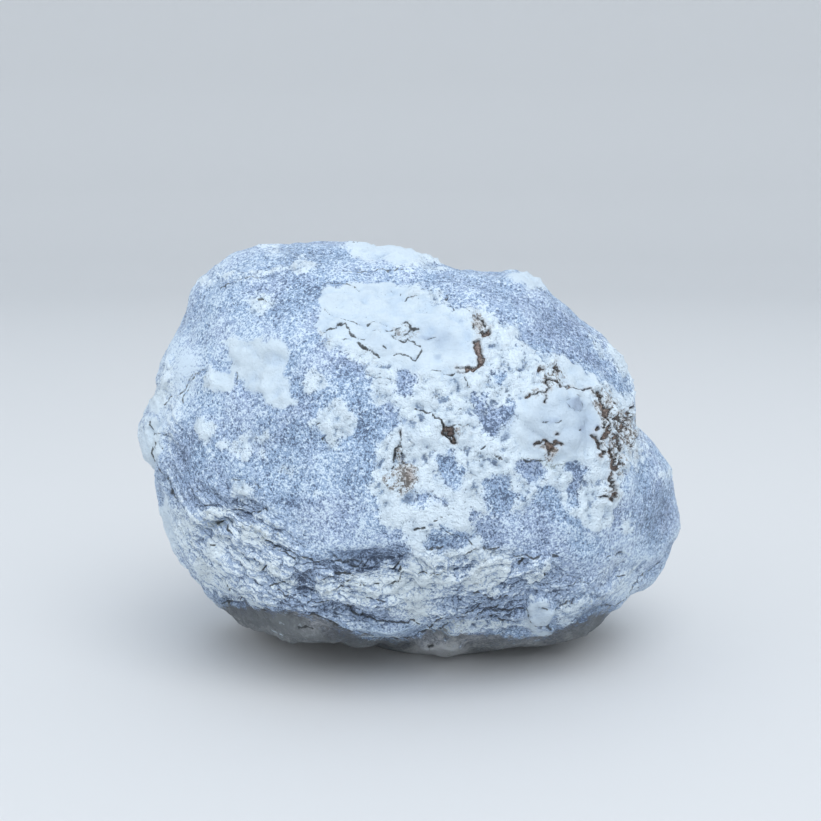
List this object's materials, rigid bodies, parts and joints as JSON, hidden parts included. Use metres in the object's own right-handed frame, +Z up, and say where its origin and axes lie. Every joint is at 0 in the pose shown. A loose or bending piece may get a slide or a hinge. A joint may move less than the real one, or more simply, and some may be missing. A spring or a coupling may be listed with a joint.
{
  "type": "mineral nodule",
  "caption": "Rounded blue-grey angelite nodule with worn flats, folded layers low on its sides and a small flat to rest on.",
  "frame": {"origin": "middle of the small resting flat under the nodule, on the ground plane", "axes": "+Z up, -Y the front (the whitest, cracked face), +X to the front's right, along the nodule's length"},
  "size_m": [0.0904, 0.0695, 0.0675],
  "materials": {
    "angelite": "matt sugary blue-grey with smooth bluish-white patches"
  },
  "bodies": {
    "root": {"angelite_nodule": "angelite"}
  },
  "joints": []
}
